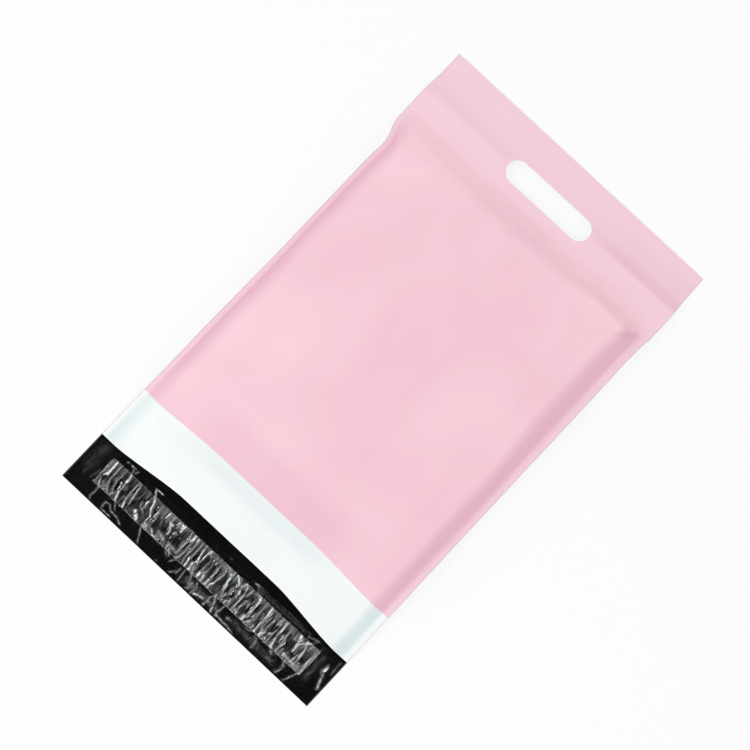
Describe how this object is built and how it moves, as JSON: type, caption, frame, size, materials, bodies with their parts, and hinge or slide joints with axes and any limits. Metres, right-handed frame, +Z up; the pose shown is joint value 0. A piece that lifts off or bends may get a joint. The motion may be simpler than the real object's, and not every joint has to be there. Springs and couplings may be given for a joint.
{
  "type": "poly mailer bag",
  "caption": "Flat plastic mailing bag with welded sides and a die-cut hand hole, open at its mouth, with a sealing flap that carries a glue strip under a clear release liner.",
  "frame": {"origin": "middle of the bag's length and width, on the table that it lies on", "axes": "+X across the bag, +Y along it from the sealing flap to the handle, +Z up from the table"},
  "size_m": [0.254, 0.442, 0.0185],
  "materials": {
    "film": "satin co-extruded polyethylene film: pink outside, with a white band at the mouth, and black inside",
    "adhesive": "tacky, milky hot-melt glue",
    "liner": "clear, glossy, rippled film"
  },
  "bodies": {
    "root": {"bag_film": "film", "adhesive_strip": "adhesive", "release_liner": "liner"}
  },
  "joints": []
}
